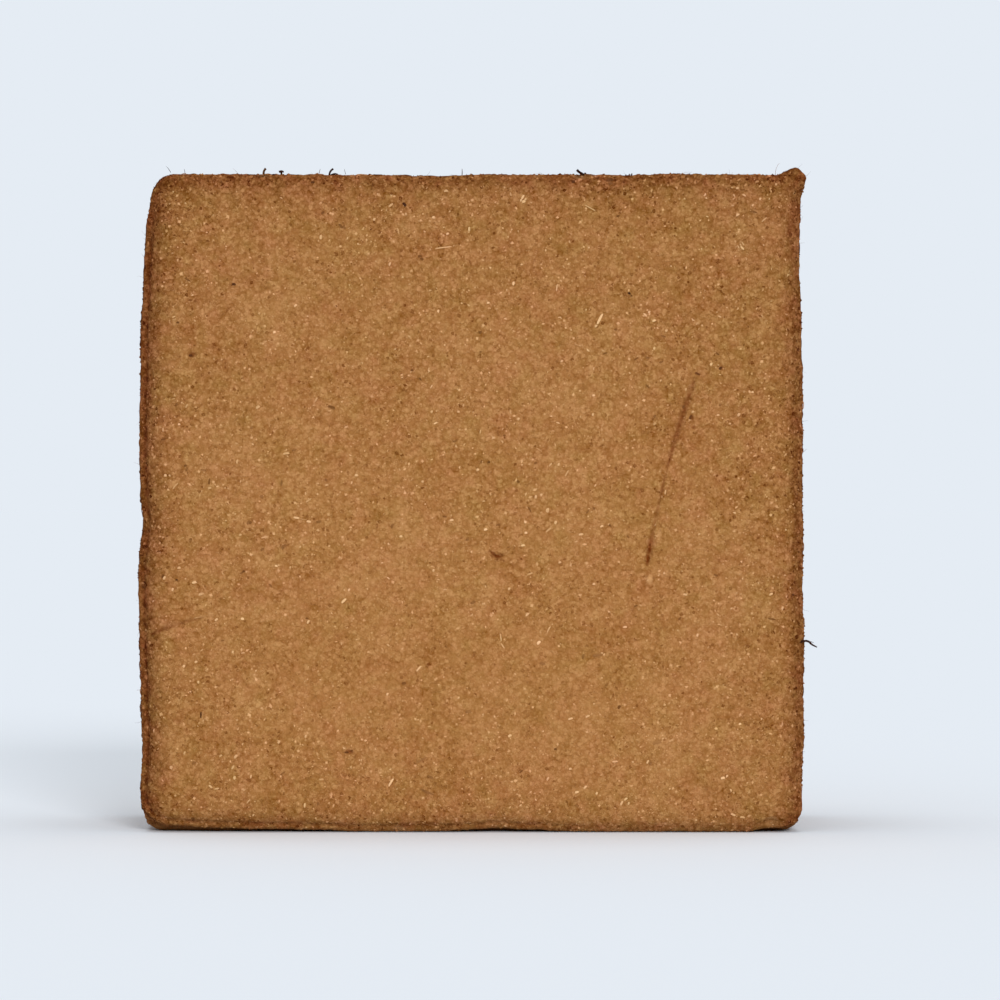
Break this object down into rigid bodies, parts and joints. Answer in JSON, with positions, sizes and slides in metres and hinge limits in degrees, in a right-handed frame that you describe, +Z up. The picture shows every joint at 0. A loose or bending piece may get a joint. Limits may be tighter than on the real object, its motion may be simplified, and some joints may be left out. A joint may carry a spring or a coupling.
{
  "type": "coconut coir bale",
  "caption": "Square pressed block of coconut coir pith and short fibre, standing on a narrow side, with a scrap of flash at one corner and a scratch down its front.",
  "frame": {"origin": "on the ground under the middle of the bale's bounding box, flash included", "axes": "+X to the right along the bale as its front face is looked at, +Y from the front face through the bale's thickness, +Z up"},
  "size_m": [0.304, 0.12, 0.3023],
  "materials": {
    "pressed_coir": "matt, granular pressed coconut pith with short pale fibres, darker round its edges"
  },
  "bodies": {
    "root": {"coir_bale": "pressed_coir"}
  },
  "joints": []
}
